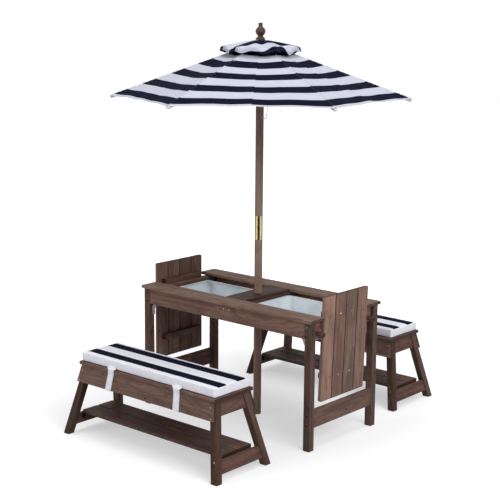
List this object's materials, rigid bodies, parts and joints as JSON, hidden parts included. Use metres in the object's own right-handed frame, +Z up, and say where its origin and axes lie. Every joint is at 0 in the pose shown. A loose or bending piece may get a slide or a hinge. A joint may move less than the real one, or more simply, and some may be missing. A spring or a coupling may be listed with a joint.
{
  "type": "children's picnic table with parasol",
  "caption": "Dark stained wooden picnic table for children with separate cushioned benches, lift-out trays, hang-up lids and a striped folding parasol",
  "frame": {"origin": "on the floor under the middle of the parasol pole, which is the middle of the table", "axes": "+X along the table to the right, +Y away from the viewer, +Z up"},
  "size_m": [1.0948, 1.3752, 1.5818],
  "materials": {
    "stained_wood": "dark brown stain, satin, open grain",
    "pole_wood": "brown stain, smooth turned",
    "brass": "polished",
    "galvanised": "zinc plated",
    "tray_plastic": "translucent white",
    "canopy_cloth": "woven navy and white stripes",
    "cushion_cloth": "woven navy and white stripes"
  },
  "bodies": {
    "table": {"table_leg_front_left": "stained_wood", "table_leg_front_right": "stained_wood", "table_leg_rear_left": "stained_wood", "table_leg_rear_right": "stained_wood", "table_apron_front": "stained_wood", "table_apron_rear": "stained_wood", "end_apron_left": "stained_wood", "end_apron_right": "stained_wood", "stretcher_left": "stained_wood", "stretcher_right": "stained_wood", "top_plank_front": "stained_wood", "top_plank_rear": "stained_wood", "centre_board": "stained_wood", "cross_beam_left": "stained_wood", "cross_beam_right": "stained_wood", "brace_front_left": "galvanised", "brace_front_right": "galvanised", "brace_rear_left": "galvanised", "brace_rear_right": "galvanised"},
    "pole_half_lower": {"pole_lower": "pole_wood", "ferrule_lower": "brass"},
    "pole_half_upper": {"pole_upper": "pole_wood", "ferrule_upper": "brass", "crown": "pole_wood", "finial": "pole_wood", "canopy": "canopy_cloth", "vent_cap": "canopy_cloth"},
    "pin": {"pin_and_chain": "galvanised"},
    "runner_body": {"runner": "pole_wood"},
    "rib_1_body": {"rib_1": "pole_wood"},
    "strut_1_body": {"strut_1": "pole_wood"},
    "rib_2_body": {"rib_2": "pole_wood"},
    "strut_2_body": {"strut_2": "pole_wood"},
    "rib_3_body": {"rib_3": "pole_wood"},
    "strut_3_body": {"strut_3": "pole_wood"},
    "rib_4_body": {"rib_4": "pole_wood"},
    "strut_4_body": {"strut_4": "pole_wood"},
    "rib_5_body": {"rib_5": "pole_wood"},
    "strut_5_body": {"strut_5": "pole_wood"},
    "rib_6_body": {"rib_6": "pole_wood"},
    "strut_6_body": {"strut_6": "pole_wood"},
    "lid_left_body": {"lid_left": "stained_wood"},
    "lid_right_body": {"lid_right": "stained_wood"},
    "tray_left_body": {"tray_left": "tray_plastic"},
    "tray_right_body": {"tray_right": "tray_plastic"},
    "bench_front_body": {"bench_front_seat": "stained_wood", "bench_front_end_left": "stained_wood", "bench_front_end_right": "stained_wood", "bench_front_apron_front": "stained_wood", "bench_front_apron_rear": "stained_wood", "bench_front_shelf": "stained_wood", "bench_front_cushion": "cushion_cloth"},
    "bench_rear_body": {"bench_rear_seat": "stained_wood", "bench_rear_end_left": "stained_wood", "bench_rear_end_right": "stained_wood", "bench_rear_apron_front": "stained_wood", "bench_rear_apron_rear": "stained_wood", "bench_rear_shelf": "stained_wood", "bench_rear_cushion": "cushion_cloth"}
  },
  "joints": [
    {"name": "umbrella_lift", "type": "slide", "parent": "table", "child": "pole_half_lower", "axis": [0, 0, 1], "range_m": [0, 0.53]},
    {"name": "umbrella_turn", "type": "hinge", "parent": "pole_half_lower", "child": "pole_half_upper", "pos_m": [0, 0, 0.79], "axis": [0, 0, 1], "continuous": true},
    {"name": "umbrella_close", "type": "slide", "parent": "pole_half_upper", "child": "runner_body", "axis": [0, 0, -1], "range_m": [0, 0.3189], "deforming": ["canopy", "vent_cap"]},
    {"name": "pin_pull", "type": "slide", "parent": "pole_half_upper", "child": "pin", "axis": [1, 0, 0], "range_m": [0, 0.075], "deforming": ["pin_and_chain"]},
    {"name": "rib_1_hinge", "type": "hinge", "parent": "pole_half_upper", "child": "rib_1_body", "pos_m": [0.01991, 0.01511, 1.494], "axis": [-0.6046, 0.7965, 0], "range_deg": [-0.1, 63.7]},
    {"name": "strut_1_hinge", "type": "hinge", "parent": "rib_1_body", "child": "strut_1_body", "pos_m": [0.21015, 0.15951, 1.3959], "axis": [-0.6046, 0.7965, 0], "range_deg": [-127.4, 0.2]},
    {"name": "rib_2_hinge", "type": "hinge", "parent": "pole_half_upper", "child": "rib_2_body", "pos_m": [-0.00313, 0.0248, 1.494], "axis": [-0.9921, -0.1253, 0], "range_deg": [-0.1, 63.7]},
    {"name": "strut_2_hinge", "type": "hinge", "parent": "rib_2_body", "child": "strut_2_body", "pos_m": [-0.03307, 0.26175, 1.3959], "axis": [-0.9921, -0.1253, 0], "range_deg": [-127.4, 0.2]},
    {"name": "rib_3_hinge", "type": "hinge", "parent": "pole_half_upper", "child": "rib_3_body", "pos_m": [-0.02305, 0.00969, 1.494], "axis": [-0.3875, -0.9219, 0], "range_deg": [-0.1, 63.7]},
    {"name": "strut_3_hinge", "type": "hinge", "parent": "rib_3_body", "child": "strut_3_body", "pos_m": [-0.24321, 0.10224, 1.3959], "axis": [-0.3875, -0.9219, 0], "range_deg": [-127.4, 0.2]},
    {"name": "rib_4_hinge", "type": "hinge", "parent": "pole_half_upper", "child": "rib_4_body", "pos_m": [-0.01991, -0.01511, 1.494], "axis": [0.6046, -0.7965, 0], "range_deg": [-0.1, 63.7]},
    {"name": "strut_4_hinge", "type": "hinge", "parent": "rib_4_body", "child": "strut_4_body", "pos_m": [-0.21015, -0.15951, 1.3959], "axis": [0.6046, -0.7965, 0], "range_deg": [-127.4, 0.2]},
    {"name": "rib_5_hinge", "type": "hinge", "parent": "pole_half_upper", "child": "rib_5_body", "pos_m": [0.00313, -0.0248, 1.494], "axis": [0.9921, 0.1253, 0], "range_deg": [-0.1, 63.7]},
    {"name": "strut_5_hinge", "type": "hinge", "parent": "rib_5_body", "child": "strut_5_body", "pos_m": [0.03307, -0.26175, 1.3959], "axis": [0.9921, 0.1253, 0], "range_deg": [-127.4, 0.2]},
    {"name": "rib_6_hinge", "type": "hinge", "parent": "pole_half_upper", "child": "rib_6_body", "pos_m": [0.02305, -0.00969, 1.494], "axis": [0.3875, 0.9219, 0], "range_deg": [-0.1, 63.7]},
    {"name": "strut_6_hinge", "type": "hinge", "parent": "rib_6_body", "child": "strut_6_body", "pos_m": [0.24321, -0.10224, 1.3959], "axis": [0.3875, 0.9219, 0], "range_deg": [-127.4, 0.2]},
    {"name": "lid_left_lift", "type": "slide", "parent": "table", "child": "lid_left_body", "axis": [0, 0, 1], "range_m": [0, 0.12]},
    {"name": "lid_right_lift", "type": "slide", "parent": "table", "child": "lid_right_body", "axis": [0.0349, 0, 0.9994], "range_m": [0, 0.12]},
    {"name": "tray_left_lift", "type": "slide", "parent": "table", "child": "tray_left_body", "axis": [0, 0, 1], "range_m": [0, 0.15]},
    {"name": "tray_right_lift", "type": "slide", "parent": "table", "child": "tray_right_body", "axis": [0, 0, 1], "range_m": [0, 0.15]},
    {"name": "bench_front_tuck", "type": "slide", "parent": "table", "child": "bench_front_body", "axis": [0, 1, 0], "range_m": [-0.2, 0.385]},
    {"name": "bench_rear_tuck", "type": "slide", "parent": "table", "child": "bench_rear_body", "axis": [0, -1, 0], "range_m": [-0.2, 0.385]}
  ],
  "couplings": [
    {"joint": "rib_1_hinge", "follows": "umbrella_close", "rad_per_m": 3.4808},
    {"joint": "strut_1_hinge", "follows": "umbrella_close", "rad_per_m": -6.9616},
    {"joint": "rib_2_hinge", "follows": "umbrella_close", "rad_per_m": 3.4808},
    {"joint": "strut_2_hinge", "follows": "umbrella_close", "rad_per_m": -6.9616},
    {"joint": "rib_3_hinge", "follows": "umbrella_close", "rad_per_m": 3.4808},
    {"joint": "strut_3_hinge", "follows": "umbrella_close", "rad_per_m": -6.9616},
    {"joint": "rib_4_hinge", "follows": "umbrella_close", "rad_per_m": 3.4808},
    {"joint": "strut_4_hinge", "follows": "umbrella_close", "rad_per_m": -6.9616},
    {"joint": "rib_5_hinge", "follows": "umbrella_close", "rad_per_m": 3.4808},
    {"joint": "strut_5_hinge", "follows": "umbrella_close", "rad_per_m": -6.9616},
    {"joint": "rib_6_hinge", "follows": "umbrella_close", "rad_per_m": 3.4808},
    {"joint": "strut_6_hinge", "follows": "umbrella_close", "rad_per_m": -6.9616}
  ]
}
